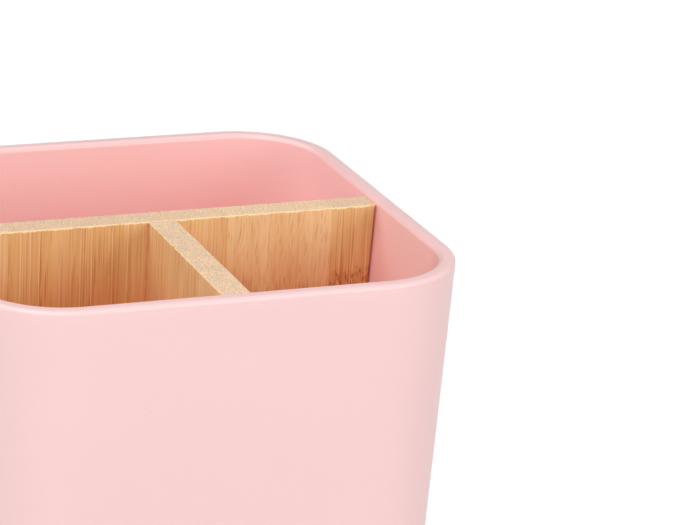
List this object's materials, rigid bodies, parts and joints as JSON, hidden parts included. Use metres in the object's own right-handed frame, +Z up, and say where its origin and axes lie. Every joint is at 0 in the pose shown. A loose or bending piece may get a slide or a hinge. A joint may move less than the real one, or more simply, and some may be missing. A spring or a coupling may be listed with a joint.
{
  "type": "pen holder cup",
  "caption": "Square tapered plastic desk cup with rounded corners and a lift-out T-shaped bamboo divider that makes separate compartments.",
  "frame": {"origin": "middle of the footprint, on the surface that the cup stands on", "axes": "+Z up to the rim, +X to the right along the front, +Y from the front, where the cross board is, to the back"},
  "size_m": [0.09, 0.09, 0.1],
  "materials": {
    "cup_plastic": "satin",
    "bamboo_board": "sanded, clear matt lacquer",
    "bamboo_dowel": "raw",
    "pad_rubber": "matte"
  },
  "bodies": {
    "cup": {"cup_shell": "cup_plastic", "foot_pad_front_left": "pad_rubber", "foot_pad_front_right": "pad_rubber", "foot_pad_back_left": "pad_rubber", "foot_pad_back_right": "pad_rubber"},
    "divider": {"long_board": "bamboo_board", "cross_board": "bamboo_board", "divider_dowels": "bamboo_dowel"}
  },
  "joints": [
    {"name": "divider_lift", "type": "slide", "parent": "cup", "child": "divider", "axis": [0, 0, 1], "range_m": [0, 0.11]}
  ]
}
